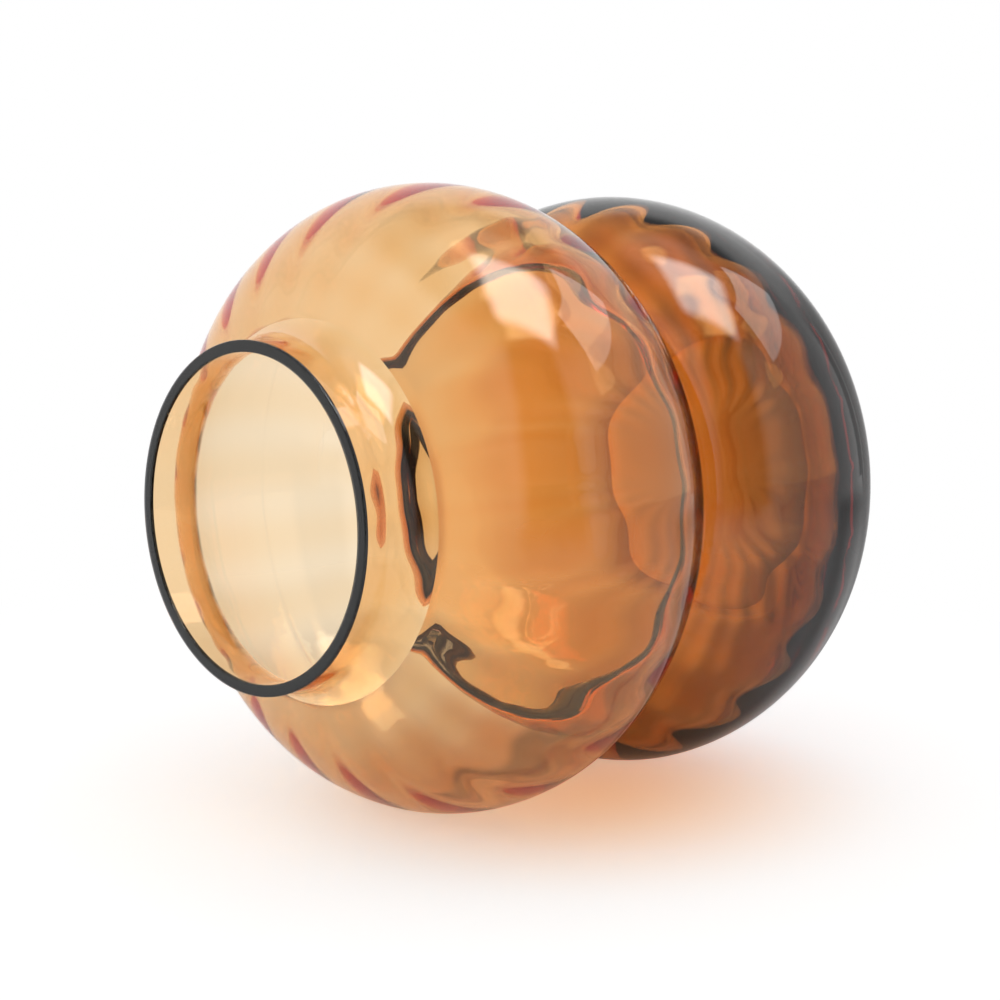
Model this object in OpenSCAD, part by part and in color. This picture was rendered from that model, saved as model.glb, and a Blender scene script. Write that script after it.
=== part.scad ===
// Gourd vase of amber glass, standing upright on its ground base.
// Two flattened bulbs are joined hot at a tight waist, the lower one heavy below and the upper one thin.
// A short neck flares up from a crease on the upper bulb, and a thin wrap of dark glass finishes its rim.
// Each piece is part of one section, drawn beside the axis and turned once round it. The cavity has an
// outline of its own, so the wall is thin above the waist and thick under the lower bulb.
// The origin is the centre of the base, and +Z points out of the mouth. All sizes are in millimetres.

/* [Lower bulb] */
// Largest radius of the lower bulb
lower_r = 107.5; // [104:0.5:111]
// Rounding radius of the lower bulb's side below its widest ring, seen in section
lower_side_r = 66; // [62:0.5:68]
// Rounding radius of the side above the widest ring, where the bulb turns in to the waist
lower_top_r = 48; // [46:0.5:54]
// Height of the lower bulb's widest ring above the base
lower_h = 71.3; // [70:0.1:75]
// Rounding radius of the underside, between the side and the foot
belly_r = 150; // [130:5:180]
// Radius of the flat face ground on the base
foot_r = 56; // [52:0.5:59]
// Rounding radius of the edge of the foot
foot_round = 1; // [0.4:0.1:2]
// Thickness of the wall at the lower bulb's widest part
lower_wall = 4.5; // [3.5:0.1:5.5]
// Rounding radius of the cavity's side in the lower bulb, below its widest ring
cavity_side_r = 50; // [46:0.5:54]
// Rounding radius of the cavity's side above its widest ring
cavity_top_r = 38; // [36:0.5:42]
// How far the cavity's widest ring lies above the bulb's own, which thickens the glass underneath
cavity_lift = 3.3; // [1:0.1:5]
// Thickness of the floor
floor_t = 10; // [7:0.5:12]
// Rounding radius where the floor turns up into the underside, inside
floor_round = 40; // [20:1:50]

/* [Upper bulb] */
// Largest radius of the upper bulb
upper_r = 110; // [106:0.5:114]
// Rounding radius of the upper bulb's side, seen in section
upper_side_r = 53; // [48:0.5:56]
// Height of the upper bulb's dome above its widest ring, were it whole
upper_rise = 65; // [63:0.5:72]
// Distance between the widest rings of the two bulbs
bulb_gap = 93.5; // [90:0.5:98]
// Thickness of the upper bulb's wall
upper_wall = 2.4; // [2.3:0.1:4]

/* [Waist] */
// Rounding radius at the bottom of the waist groove
groove_round = 4; // [3:0.5:6]
// Rounding radius of the cavity where it narrows at the waist
throat_round = 6.5; // [5:0.5:8]

/* [Neck] */
// Outer radius of the neck
neck_r = 57.7; // [52:0.1:62]
// Height of the neck's rim above the widest ring of the upper bulb
neck_h = 77.3; // [76:0.1:86]
// Thickness of the neck's wall
neck_wall = 3.4; // [3:0.1:4.5]
// Rounding radius outside, where the neck flares out into the shoulder
flare_round = 19; // [15:0.5:25]
// How far the flare runs out from the neck to the crease where it meets the shoulder
flare_out = 6.7; // [6:0.1:8]
// Rounding radius inside, where the neck runs out into the shoulder
mouth_round = 19; // [14:0.5:20]

/* [Lip] */
// Height of the dark wrap on the rim
lip_h = 1.2; // [0.8:0.1:2]
// How far the wrap stands out past each face of the neck's wall
lip_proud = 0.3; // [0:0.1:0.6]
// Rounding radius of the wrap's two upper edges
lip_round = 0.5; // [0.2:0.1:0.7]

/* [Hidden] */
$fn = 120;

// Radius of a dome that starts level on the axis at height h and runs smoothly into a side arc of
// radius side_r centred side_x from the axis
function dome_radius(h, side_x, side_r) = (h * h + side_x * side_x - side_r * side_r) / (2 * (h - side_r));

// Point that lies da from point a and db from point b, on the right of the way from a to b
function apex(a, b, da, db) =
    let (ab = b - a, d = norm(ab))
    let (along = (d * d + da * da - db * db) / (2 * d))
    let (off = sqrt(da * da - along * along))
    a + (along * ab + off * [ab[1], -ab[0]]) / d;

// Circle [centre, radius] round a given centre that a smaller circle touches from inside
function round_it(centre, small) = [centre, norm(small[0] - centre) + small[1]];

// Circle [centre, radius] that touches a larger circle from inside at its right, with its own bottom at z
function inside_on(outer, z, r) =
    let (off = outer[0][1] - z - r)
    [[outer[0][0] + sqrt(pow(outer[1] - r, 2) - off * off), z + r], r];

// Circle [centre, radius] that touches two circles from outside at their right
function bridge(low, high, r) = [apex(low[0], high[0], low[1] + r, high[1] + r), r];

// Circle [centre, radius] of a flare that leaves a straight neck of radius x, and meets a dome centred on
// the axis so far out from the neck
function flare(dome, x, out, r) =
    let (crease_z = dome[0][1] + sqrt(pow(dome[1], 2) - pow(x + out, 2)))
    [[x + r, crease_z + sqrt(r * r - pow(r - out, 2))], r];

// Circle [centre, radius] of an inside fillet between a dome centred on the axis and a bore of radius x
function fillet(dome, x, r) =
    let (centre_x = x + r)
    [[centre_x, dome[0][1] + sqrt(pow(dome[1] + r, 2) - pow(centre_x, 2))], r];

upper_h = lower_h + bulb_gap;
rim_z = upper_h + neck_h;
past = 10;

// Circles that bound the outer section, each as [centre, radius]
lower_side = [[lower_r - lower_side_r, lower_h], lower_side_r];
lower_top = [[lower_r - lower_top_r, lower_h], lower_top_r];
foot = [[foot_r, foot_round], foot_round];
belly = [apex(lower_side[0], foot[0], belly_r - lower_side_r, belly_r - foot_round), belly_r];
upper_side = [[upper_r - upper_side_r, upper_h], upper_side_r];
crown_r = dome_radius(upper_rise, upper_side[0][0], upper_side_r);
crown = [[0, upper_h + upper_rise - crown_r], crown_r];
groove = bridge(lower_top, upper_side, groove_round);
shoulder = flare(crown, neck_r, flare_out, flare_round);

// Circles that bound the cavity
cavity_side = [[lower_r - lower_wall - cavity_side_r, lower_h + cavity_lift], cavity_side_r];
cavity_belly = round_it(belly[0], cavity_side);
cavity_top = [cavity_side[0] + [cavity_side_r - cavity_top_r, 0], cavity_top_r];
cavity_floor = inside_on(cavity_belly, floor_t, floor_round);
upper_cavity = [upper_side[0], upper_side_r - upper_wall];
crown_cavity = [crown[0], crown_r - upper_wall];
throat = bridge(cavity_top, upper_cavity, throat_round);
mouth = fillet(crown_cavity, neck_r - neck_wall, mouth_round);

module disc(c)
{
    translate(c[0])
        circle(c[1]);
}

// End of the line from the centre of a large circle through a smaller one that it touches, and past both
function beyond(large, small) =
    let (way = small[0] - large[0])
    small[0] + way * (small[1] + past) / norm(way);

// Half section of a whole gourd, from its floor up to the height top. Each argument but the last two is
// a circle. Each touches the next, apart from the flare, which may cross the dome under it. The circles
// low and low_top meet at the lower bulb's widest ring, and bound it below and above that ring
module gourd_section(base, under, low, low_top, bridge, high, over, flare, neck, top)
{
    disc(base);
    disc(low_top);
    disc(high);
    intersection()
    {
        disc(low);
        translate([0, low[0][1] - low[1] - past])
            square([low[0][0] + low[1] + past, low[1] + past]);
    }
    translate([0, base[0][1] - base[1]])
        square([base[0][0], base[1]]);
    polygon([[0, base[0][1]], base[0], low[0], [0, low[0][1]]]);
    intersection()
    {
        disc(under);
        polygon([base[0], beyond(under, base), beyond(under, low), low[0]]);
    }
    intersection()
    {
        disc(over);
        polygon([[0, high[0][1]], high[0], beyond(over, high), [0, high[0][1] + 2 * over[1]]]);
    }
    difference()
    {
        polygon([[0, low[0][1]], low_top[0], bridge[0], high[0], [0, high[0][1]]]);
        disc(bridge);
    }
    difference()
    {
        polygon([over[0], flare[0], [0, flare[0][1]]]);
        disc(flare);
    }
    translate([0, flare[0][1] - 1])
        square([neck, top - flare[0][1] + 1]);
}

// Half section of the glass between two heights
module glass_section(bottom, top)
{
    intersection()
    {
        difference()
        {
            gourd_section(foot, belly, lower_side, lower_top, groove, upper_side,
                          crown, shoulder, neck_r, rim_z);
            gourd_section(cavity_floor, cavity_belly, cavity_side, cavity_top, throat, upper_cavity,
                          crown_cavity, mouth, neck_r - neck_wall, rim_z + past);
        }
        translate([0, bottom])
            square([lower_r + upper_r, top - bottom]);
    }
}

// The lower bulb: a thick floor and underside, a thinner side, and the lower half of the waist
module lower_bulb()
{
    color([0.66, 0.37, 0.16])
        rotate_extrude()
            glass_section(0, groove[0][1]);
}

// The upper bulb: the upper half of the waist, a thin side, the shoulder and the neck
module upper_bulb()
{
    color([0.87, 0.55, 0.25])
        rotate_extrude()
            glass_section(groove[0][1], rim_z);
}

// The wrap of dark glass laid on the rim, with both upper edges melted round
module lip_wrap()
{
    lip_w = neck_wall + 2 * lip_proud;
    color([0.17, 0.17, 0.18])
        rotate_extrude()
            translate([neck_r - neck_wall - lip_proud, rim_z])
            {
                square([lip_w, lip_h - lip_round]);
                translate([lip_round, 0])
                    square([lip_w - 2 * lip_round, lip_h]);
                translate([lip_round, lip_h - lip_round])
                    circle(lip_round);
                translate([lip_w - lip_round, lip_h - lip_round])
                    circle(lip_round);
            }
}

lower_bulb();
upper_bulb();
lip_wrap();
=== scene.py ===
import math
import bpy
from mathutils import Matrix, Vector


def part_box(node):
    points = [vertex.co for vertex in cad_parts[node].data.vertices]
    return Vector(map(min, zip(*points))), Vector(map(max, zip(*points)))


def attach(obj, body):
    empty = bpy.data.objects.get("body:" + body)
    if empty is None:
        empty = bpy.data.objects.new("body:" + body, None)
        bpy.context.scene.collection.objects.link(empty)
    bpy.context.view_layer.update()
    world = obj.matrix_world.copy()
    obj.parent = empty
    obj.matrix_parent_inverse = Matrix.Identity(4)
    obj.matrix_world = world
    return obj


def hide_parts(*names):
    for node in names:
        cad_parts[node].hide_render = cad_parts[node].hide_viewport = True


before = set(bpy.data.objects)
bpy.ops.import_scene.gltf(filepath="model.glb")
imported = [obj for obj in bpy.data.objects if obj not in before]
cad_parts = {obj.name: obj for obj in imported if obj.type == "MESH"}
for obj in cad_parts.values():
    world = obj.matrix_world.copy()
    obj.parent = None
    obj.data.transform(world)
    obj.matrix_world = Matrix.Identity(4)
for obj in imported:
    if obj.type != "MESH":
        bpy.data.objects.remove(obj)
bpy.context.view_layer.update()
print("frame loaded:", ", ".join(sorted(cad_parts)))


# Node trees
def addNode(tree, kind, settings=None, feeds=None):
    made = tree.nodes.new(kind)
    for name, value in (settings or {}).items():
        setattr(made, name, value)
    for key, value in (feeds or {}).items():
        if isinstance(value, bpy.types.NodeSocket):
            tree.links.new(value, made.inputs[key])
        else:
            made.inputs[key].default_value = value
    return made


def addMath(tree, operation, *values):
    return addNode(tree, "ShaderNodeMath", {"operation": operation}, dict(enumerate(values))).outputs[0]


def addVector(tree, operation, *values):
    made = addNode(tree, "ShaderNodeVectorMath", {"operation": operation}, dict(enumerate(values)))
    return made.outputs["Value" if operation == "DOT_PRODUCT" else "Vector"]


def addRamp(tree, value, start, end, kind="SMOOTHSTEP"):
    return addNode(tree, "ShaderNodeMapRange", {"interpolation_type": kind},
                   {"Value": value, "From Min": start, "From Max": end}).outputs["Result"]


def addDistance(tree, place, point):
    made = addNode(tree, "ShaderNodeVectorMath", {"operation": "DISTANCE"}, {0: place, 1: point})
    return made.outputs["Value"]


def addMix(tree, share, low, high):
    return addNode(tree, "ShaderNodeMix", {"data_type": "FLOAT"}, {0: share, 2: low, 3: high}).outputs[0]


def addShaderMix(tree, share, low, high):
    return addNode(tree, "ShaderNodeMixShader", None, {0: share, 1: low, 2: high}).outputs[0]


def addGlow(tree, strength, colour=(1, 1, 1, 1)):
    return addNode(tree, "ShaderNodeEmission", None, {"Color": colour, "Strength": strength}).outputs[0]


# The kinds of ray, and 1 for those that a piece of glass sends on
def addRays(tree):
    rays = addNode(tree, "ShaderNodeLightPath").outputs
    return rays, addMath(tree, "MAXIMUM", rays["Is Glossy Ray"], rays["Is Transmission Ray"])


# Materials
def newMaterial(name):
    made = bpy.data.materials.new(name)
    made.use_nodes = True
    made.node_tree.nodes.clear()
    return made, made.node_tree


# Coloured glass, told by how fast it takes off red, green and blue, in nepers per metre
def addAbsorption(tree, takes):
    most = max(takes)
    colour = [1 - each / most for each in takes]
    made = addNode(tree, "ShaderNodeVolumeAbsorption", None, {"Color": (*colour, 1), "Density": most})
    return made.outputs["Volume"]


def glassMaterial(name, look):
    made, tree = newMaterial(name)
    place = addNode(tree, "ShaderNodeTexCoord").outputs["Object"]
    ripple = addNode(tree, "ShaderNodeTexNoise", None,
                     {"Vector": place, "Scale": look["rippleScale"], "Detail": 1.0}).outputs["Fac"]
    bump = addNode(tree, "ShaderNodeBump", None, {"Distance": look["rippleDepth"], "Height": ripple})
    surface = addNode(tree, "ShaderNodeBsdfPrincipled", None, {
        "Base Color": (1, 1, 1, 1), "Roughness": 0.0, "IOR": look["ior"], "Transmission Weight": 1.0,
        "Normal": bump.outputs["Normal"]})
    addNode(tree, "ShaderNodeOutputMaterial", None,
            {"Surface": surface.outputs["BSDF"], "Volume": addAbsorption(tree, look["takes"])})
    return made


# Where two gathers are fused there is no surface to see, so light runs straight on
def fusedMaterial(name, look):
    made, tree = newMaterial(name)
    clear = addNode(tree, "ShaderNodeBsdfTransparent").outputs["BSDF"]
    addNode(tree, "ShaderNodeOutputMaterial", None,
            {"Surface": clear, "Volume": addAbsorption(tree, look["takes"])})
    return made


# Sections, drawn beside the axis in metres. A row is a point, the way out of the glass there,
# 1 on the inner face, and 1 on a fused face
grid = {
    "segments": 288,  # round the axis, twelve to a rib
    "rowLength": 0.002,  # longest step along a section
    "rowTurn": 0.08,  # largest turn between two rows
    "doubles": 0.000002,  # points nearer than this are merged
    "sameRow": 0.0000001,  # rows nearer than this are one row
    "sameHeight": 0.000001,  # points nearer than this to a fused face's height are on it
    "crease": 0.2,  # edges that bend by more than this stay sharp
}


def domeRadius(height, sideX, sideRound):
    return (height**2 + sideX**2 - sideRound**2) / (2 * (height - sideRound))


# The point that lies so far from one point and so far from another, on the right of the way between them
def reach(low, high, fromLow, fromHigh):
    across = high - low
    along = (across.length_squared + fromLow**2 - fromHigh**2) / (2 * across.length)
    off = math.sqrt(fromLow**2 - along**2)
    return low + (along * across + off * Vector((across.y, -across.x))) / across.length


# Circles are (centre, radius). A bridge touches two of them from outside at their right
def bridgeOver(low, high, radius):
    return reach(low[0], high[0], low[1] + radius, high[1] + radius), radius


# A flare leaves a straight neck and meets the dome under it at a crease
def flareOf(dome, neck, out, radius):
    creaseZ = dome[0].y + math.sqrt(dome[1]**2 - (neck + out)**2)
    return Vector((neck + radius, creaseZ + math.sqrt(radius**2 - (radius - out)**2))), radius


def filletOf(dome, bore, radius):
    centreX = bore + radius
    return Vector((centreX, dome[0].y + math.sqrt((dome[1] + radius)**2 - centreX**2))), radius


# The circle that takes over from a side above its widest ring
def shoulderOf(side, radius):
    return Vector((side[0].x + side[1] - radius, side[0].y)), radius


# A circle inside another that touches it, with its centre at a given height
def insideAtHeight(outer, z, radius):
    off = outer[0].y - z
    return Vector((outer[0].x + math.sqrt((outer[1] - radius)**2 - off**2), z)), radius


# Rows along an arc, from the point that looks toward one place to the point that looks toward another
def addArc(rows, circle, start, end, lean, inside=0.0):
    centre, radius = circle
    first = math.atan2(start.y - centre.y, start.x - centre.x)
    turn = math.remainder(math.atan2(end.y - centre.y, end.x - centre.x) - first, 2 * math.pi)
    sweep = abs(turn)
    steps = max(math.ceil(sweep / grid["rowTurn"]), math.ceil(sweep * radius / grid["rowLength"]))
    for step in range(steps + 1):
        angle = first + turn * step / steps
        out = Vector((math.cos(angle), math.sin(angle)))
        rows.append((centre + radius * out, lean * out, inside, 0.0))


def addLine(rows, start, end, lean, inside=0.0, fused=0.0):
    steps = 1 if fused else max(1, math.ceil((end - start).length / grid["rowLength"]))
    for step in range(steps + 1):
        rows.append((start.lerp(end, step / steps), Vector(lean), inside, fused))


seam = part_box("upper_bulb")[0].z
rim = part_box("upper_bulb")[1].z
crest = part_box("lip_wrap")[1].z

glass = {
    "bulbGap": 0.0935,
    "grooveRound": 0.004,
    "throatRound": 0.0065,
    "fusedGap": 0.00001,  # left on each side of a fused face, too thin to see
    "waveDepth": 0.0002,
    "waveSize": 0.05,
    "waveSeed": 3.0,
    "waveEnds": 0.02,  # the waves grow over this height at the foot and fade over it at the rim
    "look": {"ior": 1.5, "takes": (20, 112, 269), "rippleScale": 60, "rippleDepth": 0.00002},
}
lowerValues = {
    "widest": 0.1075,
    "sideRound": 0.066,
    "height": 0.0713,
    "bellyRound": 0.15,
    "foot": 0.056,
    "footRound": 0.001,
    "wall": 0.0045,
    "cavityRound": 0.050,
    "shoulderRound": 0.048,
    "haunchRound": 0.038,  # the cavity's, inside the shoulder
    "cavityLift": 0.0033,  # the cavity's widest ring lies this far above the bulb's own
    "floor": 0.010,
    "floorRound": 0.040,
    "ribs": 24,
    "ribDepth": 0.0003,
    "ribStart": (0.02, 0.06),  # the ribs grow over these radii of the floor
}
upperValues = {
    "widest": 0.110,
    "sideRound": 0.053,
    "rise": 0.065,
    "wall": 0.0024,
    "neck": 0.0577,
    "neckWall": 0.0034,
    "flareRound": 0.019,
    "flareOut": 0.0067,
    "mouthRound": 0.019,
    "ribs": 24,
    "ribDepth": 0.00023,
    "ribEnd": (0.06, 0.09),  # the ribs fade over these radii of the shoulder
    "neckRib": 0.2,  # share of the ribs' depth that is left in the neck
    "neckRibEnd": 0.01,  # and runs out over this height below the rim
}
lipValues = {
    "proud": 0.0003,
    "round": 0.0005,
    "look": {"ior": 1.5, "takes": (1500, 1450, 1350), "rippleScale": 60, "rippleDepth": 0.00002},
}

lowerZ = lowerValues["height"]
upperZ = lowerZ + glass["bulbGap"]
lowerSide = Vector((lowerValues["widest"] - lowerValues["sideRound"], lowerZ)), lowerValues["sideRound"]
upperSide = Vector((upperValues["widest"] - upperValues["sideRound"], upperZ)), upperValues["sideRound"]

lowerShoulder = shoulderOf(lowerSide, lowerValues["shoulderRound"])
groove = bridgeOver(lowerShoulder, upperSide, glass["grooveRound"])
foot = Vector((lowerValues["foot"], lowerValues["footRound"])), lowerValues["footRound"]
belly = (reach(lowerSide[0], foot[0], lowerValues["bellyRound"] - lowerSide[1],
               lowerValues["bellyRound"] - foot[1]), lowerValues["bellyRound"])

cavitySide = (Vector((lowerValues["widest"] - lowerValues["wall"] - lowerValues["cavityRound"],
                      lowerZ + lowerValues["cavityLift"])), lowerValues["cavityRound"])
cavityBelly = belly[0], (cavitySide[0] - belly[0]).length + cavitySide[1]
cavityFloor = insideAtHeight(cavityBelly, lowerValues["floor"] + lowerValues["floorRound"],
                             lowerValues["floorRound"])
upperCavity = upperSide[0], upperSide[1] - upperValues["wall"]
lowerHaunch = shoulderOf(cavitySide, lowerValues["haunchRound"])
throat = bridgeOver(lowerHaunch, upperCavity, glass["throatRound"])
join = Vector((groove[0].x - glass["grooveRound"], seam))
innerJoin = Vector((throat[0].x - math.sqrt(glass["throatRound"]**2 - (seam - throat[0].y)**2), seam))


def lowerRows():
    footEnd = foot[0] + (foot[0] - belly[0])
    bellyEnd = lowerSide[0] + (lowerSide[0] - belly[0])
    cavityEnd = cavitySide[0] + (cavitySide[0] - cavityBelly[0])
    floorEnd = cavityFloor[0] + (cavityFloor[0] - cavityBelly[0])
    down, outwards = Vector((0, -1)), Vector((1, 0))
    floorZ = lowerValues["floor"]
    rows = []
    addLine(rows, Vector((0, 0)), Vector((foot[0].x, 0)), (0, -1))
    addArc(rows, foot, foot[0] + down, footEnd, 1)
    addArc(rows, belly, footEnd, bellyEnd, 1)
    addArc(rows, lowerSide, bellyEnd, lowerSide[0] + outwards, 1)
    addArc(rows, lowerShoulder, lowerShoulder[0] + outwards, groove[0], 1)
    addArc(rows, groove, lowerShoulder[0], join, -1)
    addLine(rows, join, innerJoin, (0, 1), fused=1.0)
    addArc(rows, throat, innerJoin, lowerHaunch[0], 1, inside=1.0)
    addArc(rows, lowerHaunch, throat[0], lowerHaunch[0] + outwards, -1, inside=1.0)
    addArc(rows, cavitySide, cavitySide[0] + outwards, cavityEnd, -1, inside=1.0)
    addArc(rows, cavityBelly, cavityEnd, floorEnd, -1, inside=1.0)
    addArc(rows, cavityFloor, floorEnd, cavityFloor[0] + down, -1, inside=1.0)
    addLine(rows, Vector((cavityFloor[0].x, floorZ)), Vector((0, floorZ)), (0, 1), inside=1.0)
    return rows


def upperRows():
    crownRound = domeRadius(upperValues["rise"], upperSide[0].x, upperSide[1])
    crown = Vector((0, upperZ + upperValues["rise"] - crownRound)), crownRound
    crownCavity = crown[0], crownRound - upperValues["wall"]
    outer, inner = upperValues["neck"], upperValues["neck"] - upperValues["neckWall"]
    flare = flareOf(crown, outer, upperValues["flareOut"], upperValues["flareRound"])
    crease = reach(flare[0], crown[0], flare[1], crown[1])
    mouth = filletOf(crownCavity, inner, upperValues["mouthRound"])
    crownEnd = upperSide[0] + (upperSide[0] - crown[0])
    rows = []
    addArc(rows, groove, join, upperSide[0], -1)
    addArc(rows, upperSide, groove[0], crownEnd, 1)
    addArc(rows, crown, crownEnd, crease, 1)
    addArc(rows, flare, crease, Vector((outer, flare[0].y)), -1)
    addLine(rows, Vector((outer, flare[0].y)), Vector((outer, rim)), (1, 0))
    addLine(rows, Vector((outer, rim)), Vector((inner, rim)), (0, 1), fused=1.0)
    addLine(rows, Vector((inner, rim)), Vector((inner, mouth[0].y)), (-1, 0), inside=1.0)
    addArc(rows, mouth, Vector((inner, mouth[0].y)), crown[0], 1, inside=1.0)
    addArc(rows, crownCavity, mouth[0], crownEnd, -1, inside=1.0)
    addArc(rows, upperCavity, crownEnd, throat[0], -1, inside=1.0)
    addArc(rows, throat, upperCavity[0], innerJoin, 1, inside=1.0)
    addLine(rows, innerJoin, join, (0, -1), fused=1.0)
    return rows


def lipRows():
    proud, round = lipValues["proud"], lipValues["round"]
    outer, inner = upperValues["neck"], upperValues["neck"] - upperValues["neckWall"]
    outerRound = Vector((outer + proud - round, crest - round)), round
    innerRound = Vector((inner - proud + round, crest - round)), round
    aside, above = Vector((round, 0)), Vector((0, round))
    rows = []
    addLine(rows, Vector((outer, rim)), Vector((outer + proud, rim)), (0, -1))
    addLine(rows, Vector((outer + proud, rim)), outerRound[0] + aside, (1, 0))
    addArc(rows, outerRound, outerRound[0] + aside, outerRound[0] + above, 1)
    addLine(rows, outerRound[0] + above, innerRound[0] + above, (0, 1))
    addArc(rows, innerRound, innerRound[0] + above, innerRound[0] - aside, 1)
    addLine(rows, innerRound[0] - aside, Vector((inner - proud, rim)), (-1, 0))
    addLine(rows, Vector((inner - proud, rim)), Vector((inner, rim)), (0, -1))
    addLine(rows, Vector((inner, rim)), Vector((outer, rim)), (0, -1), fused=1.0)
    return rows


def smoothShare(value, start, end):
    share = min(max((value - start) / (end - start), 0), 1)
    return share * share * (3 - 2 * share)


def addAttribute(tree, name, kind="FLOAT"):
    made = addNode(tree, "GeometryNodeInputNamedAttribute", {"data_type": kind}, {"Name": name})
    return made.outputs[0]


# Turns a section round the axis, with ribs on its inner face and slow waves on both
def turnedTree():
    tree = bpy.data.node_groups.new("turnedGlass", "GeometryNodeTree")
    wanted = (("Section", "Geometry"), ("Segments", "Int"), ("Ribs", "Int"), ("Rib Depth", "Float"),
              ("Wave Depth", "Float"), ("Wave Size", "Float"), ("Wave Seed", "Float"),
              ("Crease", "Float"), ("Glass", "Material"), ("Fused", "Material"))
    for label, kind in wanted:
        tree.interface.new_socket(label, in_out="INPUT", socket_type="NodeSocket" + kind)
    tree.interface.new_socket("Piece", in_out="OUTPUT", socket_type="NodeSocketGeometry")
    given = addNode(tree, "NodeGroupInput").outputs

    # a grid with one column for each turn and one line for each row of the section
    count = addNode(tree, "GeometryNodeAttributeDomainSize", None, {"Geometry": given["Section"]})
    rows = count.outputs["Point Count"]
    sheet = addNode(tree, "GeometryNodeMeshGrid", None,
                    {"Vertices X": addMath(tree, "ADD", given["Segments"], 1.0), "Vertices Y": rows})
    index = addNode(tree, "GeometryNodeInputIndex").outputs["Index"]
    turn = addMath(tree, "FLOOR", addMath(tree, "DIVIDE", addMath(tree, "ADD", index, 0.5), rows))
    row = addMath(tree, "SUBTRACT", index, addMath(tree, "MULTIPLY", turn, rows))
    angle = addMath(tree, "DIVIDE", addMath(tree, "MULTIPLY", turn, 2 * math.pi), given["Segments"])

    def rowValue(name, kind):
        if name == "position":
            read = addNode(tree, "GeometryNodeInputPosition").outputs[0]
        else:
            read = addAttribute(tree, name, kind)
        taken = addNode(tree, "GeometryNodeSampleIndex", {"data_type": kind},
                        {"Geometry": given["Section"], "Value": read, "Index": row})
        return taken.outputs["Value"]

    point = rowValue("position", "FLOAT_VECTOR")
    lean = rowValue("lean", "FLOAT_VECTOR")

    def turned(vector):
        parts = addNode(tree, "ShaderNodeSeparateXYZ", None, {0: vector}).outputs
        return addNode(tree, "ShaderNodeCombineXYZ", None, {
            "X": addMath(tree, "MULTIPLY", parts["X"], addMath(tree, "COSINE", angle)),
            "Y": addMath(tree, "MULTIPLY", parts["X"], addMath(tree, "SINE", angle)),
            "Z": parts["Z"]}).outputs["Vector"]

    # ribs
    ribAngle = addMath(tree, "MULTIPLY", angle, given["Ribs"])
    ribDepth = addMath(tree, "MULTIPLY", given["Rib Depth"], rowValue("ribShare", "FLOAT"))
    rib = addMath(tree, "MULTIPLY", addMath(tree, "COSINE", ribAngle), ribDepth)

    # waves
    body = turned(point)
    outwards = turned(lean)
    waveAt = addVector(tree, "DIVIDE", body, addNode(tree, "ShaderNodeCombineXYZ", None, {
        "X": given["Wave Size"], "Y": given["Wave Size"], "Z": given["Wave Size"]}).outputs["Vector"])
    waveSeed = addMath(tree, "ADD", given["Wave Seed"], rowValue("inside", "FLOAT"))
    wave = addNode(tree, "ShaderNodeTexNoise", {"noise_dimensions": "4D"},
                   {"Vector": waveAt, "W": waveSeed, "Scale": 1.0, "Detail": 0.0}).outputs["Fac"]
    waveDepth = addMath(tree, "MULTIPLY", given["Wave Depth"], rowValue("waveShare", "FLOAT"))
    waved = addMath(tree, "MULTIPLY", addMath(tree, "SUBTRACT", wave, 0.5), waveDepth)

    push = addMath(tree, "ADD", rib, waved)
    pushes = addNode(tree, "ShaderNodeCombineXYZ", None, {"X": push, "Y": push, "Z": push}).outputs[0]
    place = addVector(tree, "ADD", body, addVector(tree, "MULTIPLY", outwards, pushes))
    fused = rowValue("fused", "FLOAT")
    marked = addNode(tree, "GeometryNodeStoreNamedAttribute", {"data_type": "FLOAT", "domain": "POINT"},
                     {"Geometry": sheet.outputs["Mesh"], "Name": "fused", "Value": fused})
    placed = addNode(tree, "GeometryNodeSetPosition", None,
                     {"Geometry": marked.outputs[0], "Position": place})

    # fused faces are those whose corners are all fused rows, read before the doubles are merged
    faceShare = addNode(tree, "GeometryNodeFieldOnDomain", {"data_type": "FLOAT", "domain": "FACE"},
                        {"Value": addAttribute(tree, "fused")}).outputs[0]
    tagged = addNode(tree, "GeometryNodeStoreNamedAttribute", {"data_type": "FLOAT", "domain": "FACE"},
                     {"Geometry": placed.outputs[0], "Name": "fusedFace", "Value": faceShare})
    closed = addNode(tree, "GeometryNodeMergeByDistance", None,
                     {"Geometry": tagged.outputs[0], "Distance": grid["doubles"]})
    smooth = addNode(tree, "GeometryNodeSetShadeSmooth", {"domain": "FACE"},
                     {"Geometry": closed.outputs[0]})
    bend = addNode(tree, "GeometryNodeInputMeshEdgeAngle").outputs["Unsigned Angle"]
    creased = addNode(tree, "GeometryNodeSetShadeSmooth", {"domain": "EDGE"}, {
        "Geometry": smooth.outputs[0], "Selection": addMath(tree, "GREATER_THAN", bend, given["Crease"]),
        "Shade Smooth": False})
    real = addNode(tree, "GeometryNodeRealizeInstances", None, {"Geometry": creased.outputs[0]})
    glassed = addNode(tree, "GeometryNodeSetMaterial", None,
                      {"Geometry": real.outputs[0], "Material": given["Glass"]})
    isFused = addMath(tree, "GREATER_THAN", addAttribute(tree, "fusedFace"), 0.9)
    finished = addNode(tree, "GeometryNodeSetMaterial", None, {
        "Geometry": glassed.outputs[0], "Material": given["Fused"], "Selection": isFused})
    addNode(tree, "NodeGroupOutput", None, {0: finished.outputs[0]})
    return tree


turnedGlass = turnedTree()


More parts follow.
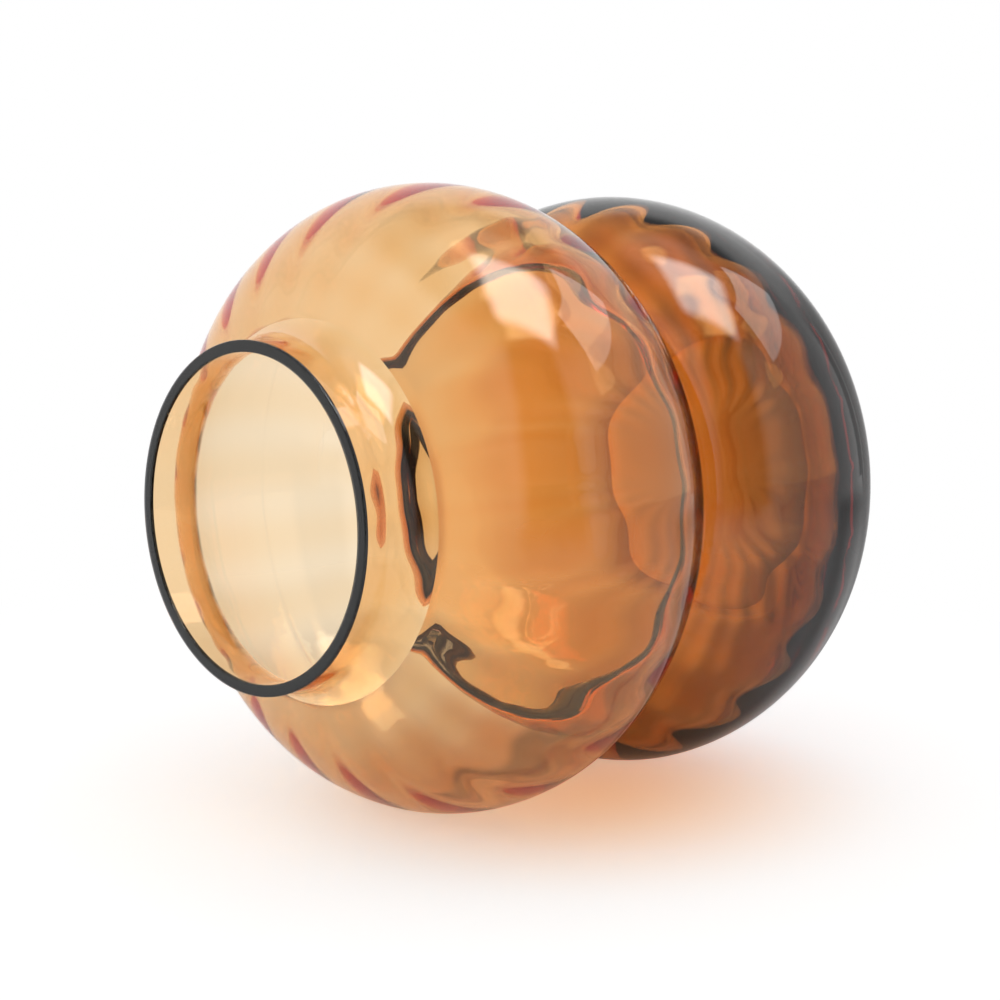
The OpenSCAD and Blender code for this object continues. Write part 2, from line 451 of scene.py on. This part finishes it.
def turnedPiece(name, rows, ribShare, waveShare, inputs, node):
    kept = [rows[0]]
    for row in rows[1:]:
        if (row[0] - kept[-1][0]).length > grid["sameRow"]:
            kept.append(row)
        elif row[3]:
            kept[-1] = row
    section = bpy.data.meshes.new(name + "Section")
    edges = [(i, i + 1) for i in range(len(kept) - 1)]
    section.from_pydata([(row[0].x, 0, row[0].y) for row in kept], edges, [])
    values = {
        "ribShare": [ribShare(row[0]) if row[2] else 0.0 for row in kept],
        "waveShare": [waveShare(row[0]) for row in kept],
        "inside": [row[2] for row in kept],
        "fused": [row[3] for row in kept],
    }
    for label, each in values.items():
        section.attributes.new(label, "FLOAT", "POINT").data.foreach_set("value", each)
    leans = [part for row in kept for part in (row[1].x, 0, row[1].y)]
    section.attributes.new("lean", "FLOAT_VECTOR", "POINT").data.foreach_set("vector", leans)
    piece = bpy.data.objects.new(name, section)
    bpy.context.scene.collection.objects.link(piece)
    turned = piece.modifiers.new("turned", "NODES")
    turned.node_group = turnedGlass
    items = turnedGlass.interface.items_tree
    sockets = {item.name: item.identifier for item in items if item.in_out == "INPUT"}
    for label, value in inputs.items():
        turned[sockets[label]] = value
    bpy.context.view_layer.update()
    solid = piece.evaluated_get(bpy.context.evaluated_depsgraph_get())
    mesh = bpy.data.meshes.new_from_object(solid)
    piece.modifiers.clear()
    piece.data = mesh
    mesh.name = name
    bpy.data.meshes.remove(section)
    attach(piece, "root")
    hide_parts(node)
    print(name, "turned:", len(mesh.polygons), "faces")
    return piece


def inputsFor(values, material, fused):
    return {
        "Segments": grid["segments"], "Ribs": values.get("ribs", 0),
        "Rib Depth": values.get("ribDepth", 0.0), "Wave Depth": glass["waveDepth"],
        "Wave Size": glass["waveSize"], "Wave Seed": glass["waveSeed"], "Crease": grid["crease"],
        "Glass": material, "Fused": fused,
    }


def wavesAbove(point):
    ends = glass["waveEnds"]
    return smoothShare(point.y, 0, ends) * (1 - smoothShare(point.y, rim - ends, rim))


amberGlass = glassMaterial("amberGlass", glass["look"])
darkGlass = glassMaterial("darkGlass", lipValues["look"])
amberFused = fusedMaterial("amberFused", glass["look"])
darkFused = fusedMaterial("darkFused", lipValues["look"])


def lowerRibShare(point):
    return smoothShare(point.x, *lowerValues["ribStart"])


def upperRibShare(point):
    if point.y < upperZ:
        return 1.0
    fade = smoothShare(point.x, *upperValues["ribEnd"])
    neck = upperValues["neckRib"] * (1 - smoothShare(point.y, rim - upperValues["neckRibEnd"], rim))
    return neck + (1 - neck) * fade


def noShare(point):
    return 0.0


lowerBulb = turnedPiece("lowerBulb", lowerRows(), lowerRibShare, wavesAbove,
                        inputsFor(lowerValues, amberGlass, amberFused), "lower_bulb")
upperBulb = turnedPiece("upperBulb", upperRows(), upperRibShare, wavesAbove,
                        inputsFor(upperValues, amberGlass, amberFused), "upper_bulb")
lipWrap = turnedPiece("lipWrap", lipRows(), noShare, noShare,
                      inputsFor(lipValues, darkGlass, darkFused), "lip_wrap")

# Fused faces stand a hair apart, so that light leaves one glass before it enters the next
for piece, low, high in ((lowerBulb, None, seam), (upperBulb, seam, rim), (lipWrap, rim, None)):
    for vertex in piece.data.vertices:
        if low is not None and abs(vertex.co.z - low) < grid["sameHeight"]:
            vertex.co.z = low + glass["fusedGap"]
        elif high is not None and abs(vertex.co.z - high) < grid["sameHeight"]:
            vertex.co.z = high - glass["fusedGap"]

# The vase lies on its two bulbs, turned away from the camera. These are the room's axes as the
# vase's frame sees them: across to the right, away from the camera, and up
room = {
    "turn": 0.7898,  # the mouth's turn to the left of the line to the camera
    "centre": (-0.02595, 0.69364, -0.1073),  # middle of the upper bulb, seen from the camera
    "pitch": 0.1536,  # the camera looks down by this
    "lens": 72,
    "sensor": 36,
    "clip": (0.01, 20),
    "floorRadius": 1.6,
    "floorSides": 96,
    "floorColour": 0.9,
    "floorFill": 0.44,  # added in the floor's colour, painted glow included
    "floorFillInGlass": 0.167,
    "floorFade": (0.06, 0.42),  # over these distances the floor runs out into plain white
    "floorFadeInGlass": (0.15, 0.45),
    "paintedGlowAt": (0.06, 0.01),  # this far to the right and away, the floor is painted amber, a painted pool of light standing in for light through the glass
    "paintedGlowReach": 0.12,
    "paintedGlowColour": (0.94, 0.62, 0.4),
}
tilt = math.asin((upperValues["widest"] - lowerValues["widest"]) / glass["bulbGap"])
axis = Vector((-math.sin(room["turn"]) * math.cos(tilt), -math.cos(room["turn"]) * math.cos(tilt),
               math.sin(tilt)))
sideways = axis.cross(Vector((0, 0, 1))).normalized()
fromRoom = Matrix((sideways, axis.cross(sideways), axis))
right, away, up = (fromRoom @ Vector(each) for each in ((1, 0, 0), (0, 1, 0), (0, 0, 1)))
upperCentre = Vector((0, 0, upperZ))


def makeCamera():
    camera = bpy.data.objects.new("camera", bpy.data.cameras.new("camera"))
    camera.data.lens = room["lens"]
    camera.data.sensor_width = room["sensor"]
    camera.data.clip_start, camera.data.clip_end = room["clip"]
    pitch = room["pitch"]
    upwards = fromRoom @ Vector((0, math.sin(pitch), math.cos(pitch)))
    backwards = fromRoom @ Vector((0, -math.cos(pitch), math.sin(pitch)))
    turned = Matrix((right, upwards, backwards)).transposed().to_4x4()
    camera.matrix_world = Matrix.Translation(upperCentre - fromRoom @ Vector(room["centre"])) @ turned
    bpy.context.scene.collection.objects.link(camera)
    bpy.context.scene.camera = camera


# The studio around the vase, by bearing and height in degrees: bearing 0 is straight away from the
# camera and 90 is to its right. Later panels lie over earlier ones
studio = {
    "ambient": 0.8,  # what lights the floor
    "greyGap": {"bearing": (30, 80), "height": (-90, 25), "soft": 9, "light": 0.4},
    "rightPanel": {"bearing": (50, 150), "height": (-6, 60), "soft": 2, "light": 0.9},
    "ceilingRing": {"bearing": (-180, 180), "height": (50, 70), "soft": 6, "light": 0.35},
    "cameraGap": {"bearing": (150, 193), "height": (-7, 56), "soft": 6, "light": 0.12},
    "nearShade": {"bearing": (50, 75), "height": (-90, -9), "soft": 6, "light": 0.7},
    "rightLamp": {"bearing": (57, 116), "height": (42, 64), "soft": 0.7, "light": 3.0},
    "topLamp": {"across": (-9, 20), "ahead": (-28, 2), "rise": (0, 20), "soft": 4, "light": 8.0},
    "paintedShadeSpan": (0.03, 0.22),  # over this span to the right, the floor and wall that light reaches through the glass are painted darker: painted shade
    # the share of light that the painted shade leaves
    "paintedShadeLeft": 0.2,
    "wallAway": 0.5,  # behind the upper bulb's middle
    "wallHalf": 0.6,
    "wallTop": 0.3,
    "bounces": 24,  # light is guided a long way in the walls
}


def degreesOf(tree, operation, *values):
    return addMath(tree, "DEGREES", addMath(tree, operation, *values))


def within(tree, value, span, soft):
    rise = addRamp(tree, value, span[0] - soft, span[0] + soft)
    fall = addRamp(tree, value, span[1] + soft, span[1] - soft)
    return addMath(tree, "MULTIPLY", rise, fall)


# What the glass sees in a direction
def surroundings(tree, way):
    across = addVector(tree, "DOT_PRODUCT", way, right)
    ahead = addVector(tree, "DOT_PRODUCT", way, away)
    height = degreesOf(tree, "ARCSINE", addVector(tree, "DOT_PRODUCT", way, up))
    bearing = degreesOf(tree, "ARCTAN2", across, ahead)

    def share(values):
        low, high = values["bearing"]
        tall = within(tree, height, values["height"], values["soft"])
        if high - low >= 360:
            return tall
        off = addMath(tree, "SUBTRACT", bearing, (low + high) / 2)
        nearest = addMath(tree, "WRAP", off, 180.0, -180.0)
        wide = within(tree, nearest, ((low - high) / 2, (high - low) / 2), values["soft"])
        return addMath(tree, "MULTIPLY", wide, tall)

    seen = 1.0
    for name in ("greyGap", "rightPanel", "ceilingRing", "cameraGap", "nearShade"):
        change = addMath(tree, "SUBTRACT", studio[name]["light"], seen)
        seen = addMath(tree, "MULTIPLY_ADD", share(studio[name]), change, seen)
    top = studio["topLamp"]
    box = addMath(tree, "MULTIPLY",
                  within(tree, degreesOf(tree, "ARCSINE", across), top["across"], top["soft"]),
                  within(tree, degreesOf(tree, "ARCSINE", ahead), top["ahead"], top["soft"]))
    overhead = addMath(tree, "MULTIPLY", box, addRamp(tree, height, *top["rise"]))
    lamps = addMath(tree, "MULTIPLY_ADD", share(studio["rightLamp"]), studio["rightLamp"]["light"],
                    addMath(tree, "MULTIPLY", overhead, top["light"]))
    return addMath(tree, "MAXIMUM", seen, lamps)


def newSheet(name, points, material):
    mesh = bpy.data.meshes.new(name)
    mesh.from_pydata(points, [], [tuple(range(len(points)))])
    mesh.materials.append(material)
    sheet = bpy.data.objects.new(name, mesh)
    bpy.context.scene.collection.objects.link(sheet)


# Painted light and shade on a sheet, as the glass sees it at a place on it: the studio's brightness in
# that direction, painted darker to the right for light refracted through the glass
def paintedSheetLight(tree, place, rays):
    off = addVector(tree, "SUBTRACT", place, upperCentre)
    light = addMath(tree, "MINIMUM", surroundings(tree, addVector(tree, "NORMALIZE", off)), 1.0)
    fall = addRamp(tree, addVector(tree, "DOT_PRODUCT", off, right), *studio["paintedShadeSpan"], kind="LINEAR")
    paintedDarkening = addMath(tree, "MULTIPLY", rays["Is Transmission Ray"], 1 - studio["paintedShadeLeft"])
    kept = addMath(tree, "SUBTRACT", 1.0, addMath(tree, "MULTIPLY", fall, paintedDarkening))
    return addMath(tree, "MULTIPLY", light, kept)


# Behind the vase the floor runs up into a wall that only the glass sees; it glows with painted light,
# painted darker to the right as painted shade
def makeWall():
    made, tree = newMaterial("paleWall")
    rays, glassy = addRays(tree)
    place = addNode(tree, "ShaderNodeTexCoord").outputs["Object"]
    glow = addGlow(tree, paintedSheetLight(tree, place, rays))
    clear = addNode(tree, "ShaderNodeBsdfTransparent").outputs["BSDF"]
    addNode(tree, "ShaderNodeOutputMaterial", None, {"Surface": addShaderMix(tree, glassy, clear, glow)})
    middle = upperCentre + away * studio["wallAway"]
    bottom = upperValues["widest"]
    corners = ((-1, -bottom), (1, -bottom), (1, studio["wallTop"]), (-1, studio["wallTop"]))
    points = [middle + right * studio["wallHalf"] * side + up * height for side, height in corners]
    newSheet("studioWall", points, made)


def makeFloor():
    middle = upperCentre - up * upperValues["widest"]
    points = []
    for step in range(room["floorSides"]):
        angle = 2 * math.pi * step / room["floorSides"]
        points.append(middle + room["floorRadius"] * (math.cos(angle) * right + math.sin(angle) * away))
    made, tree = newMaterial("paleFloor")
    rays, glassy = addRays(tree)
    place = addNode(tree, "ShaderNodeTexCoord").outputs["Object"]
    shade = room["floorColour"]
    # painted light: the floor's colour and its fill are painted amber around this point, in place of the
    # light that the glass would throw on it
    paintedGlowMiddle = middle + room["paintedGlowAt"][0] * right + room["paintedGlowAt"][1] * away
    paintedGlowShare = addRamp(tree, addDistance(tree, place, paintedGlowMiddle), room["paintedGlowReach"], 0.0)
    paintedGlowFloor = addNode(tree, "ShaderNodeMix", {"data_type": "RGBA"}, {
        0: paintedGlowShare, 6: (shade, shade, shade, 1), 7: (*room["paintedGlowColour"], 1)})
    plain = addNode(tree, "ShaderNodeBsdfDiffuse", None, {"Color": paintedGlowFloor.outputs[2]}).outputs[0]
    fill = addMath(tree, "MULTIPLY_ADD", rays["Is Camera Ray"], room["floorFill"],
                   addMath(tree, "MULTIPLY", glassy, room["floorFillInGlass"]))
    glow = addGlow(tree, fill, paintedGlowFloor.outputs[2])
    both = addNode(tree, "ShaderNodeAddShader", None, {0: plain, 1: glow}).outputs[0]
    distance = addDistance(tree, place, middle)
    farInGlass = addMath(tree, "MULTIPLY", glassy, addRamp(tree, distance, *room["floorFadeInGlass"]))
    farSeen = addRamp(tree, distance, *room["floorFade"])
    far = addMath(tree, "MULTIPLY_ADD", rays["Is Camera Ray"], farSeen, farInGlass)
    faded = addShaderMix(tree, far, both, addGlow(tree, 1.0))

    # painted shade: as the glass sees it, the floor is painted as dim as the studio is in that
    # direction, and darker to the right
    paintedDarkening = addMath(tree, "SUBTRACT", 1.0, paintedSheetLight(tree, place, rays))
    paintedShadeShare = addMath(tree, "MULTIPLY", glassy, paintedDarkening)
    shadePaintedFloor = addNode(tree, "ShaderNodeMixShader", None, {0: paintedShadeShare, 1: faded}).outputs[0]
    behind = addNode(tree, "ShaderNodeNewGeometry").outputs["Backfacing"]
    clear = addNode(tree, "ShaderNodeBsdfTransparent").outputs["BSDF"]
    shown = addShaderMix(tree, behind, shadePaintedFloor, clear)
    addNode(tree, "ShaderNodeOutputMaterial", None, {"Surface": shown})
    newSheet("studioFloor", points, made)


def makeStudio():
    world = bpy.data.worlds.new("studio")
    world.use_nodes = True
    tree = world.node_tree
    tree.nodes.clear()
    seen = surroundings(tree, addNode(tree, "ShaderNodeTexCoord").outputs["Generated"])
    rays, glassy = addRays(tree)
    unseen = addMix(tree, glassy, studio["ambient"], seen)
    strength = addMix(tree, rays["Is Camera Ray"], unseen, 1.0)
    light = addNode(tree, "ShaderNodeBackground", None, {"Color": (1, 1, 1, 1), "Strength": strength})
    addNode(tree, "ShaderNodeOutputWorld", None, {"Surface": light.outputs[0]})
    bpy.context.scene.world = world


makeCamera()
makeFloor()
makeWall()
makeStudio()
bpy.context.scene.view_settings.view_transform = "Standard"
for kind in ("max_bounces", "transmission_bounces", "glossy_bounces", "transparent_max_bounces"):
    setattr(bpy.context.scene.cycles, kind, studio["bounces"])
print("studio ready")
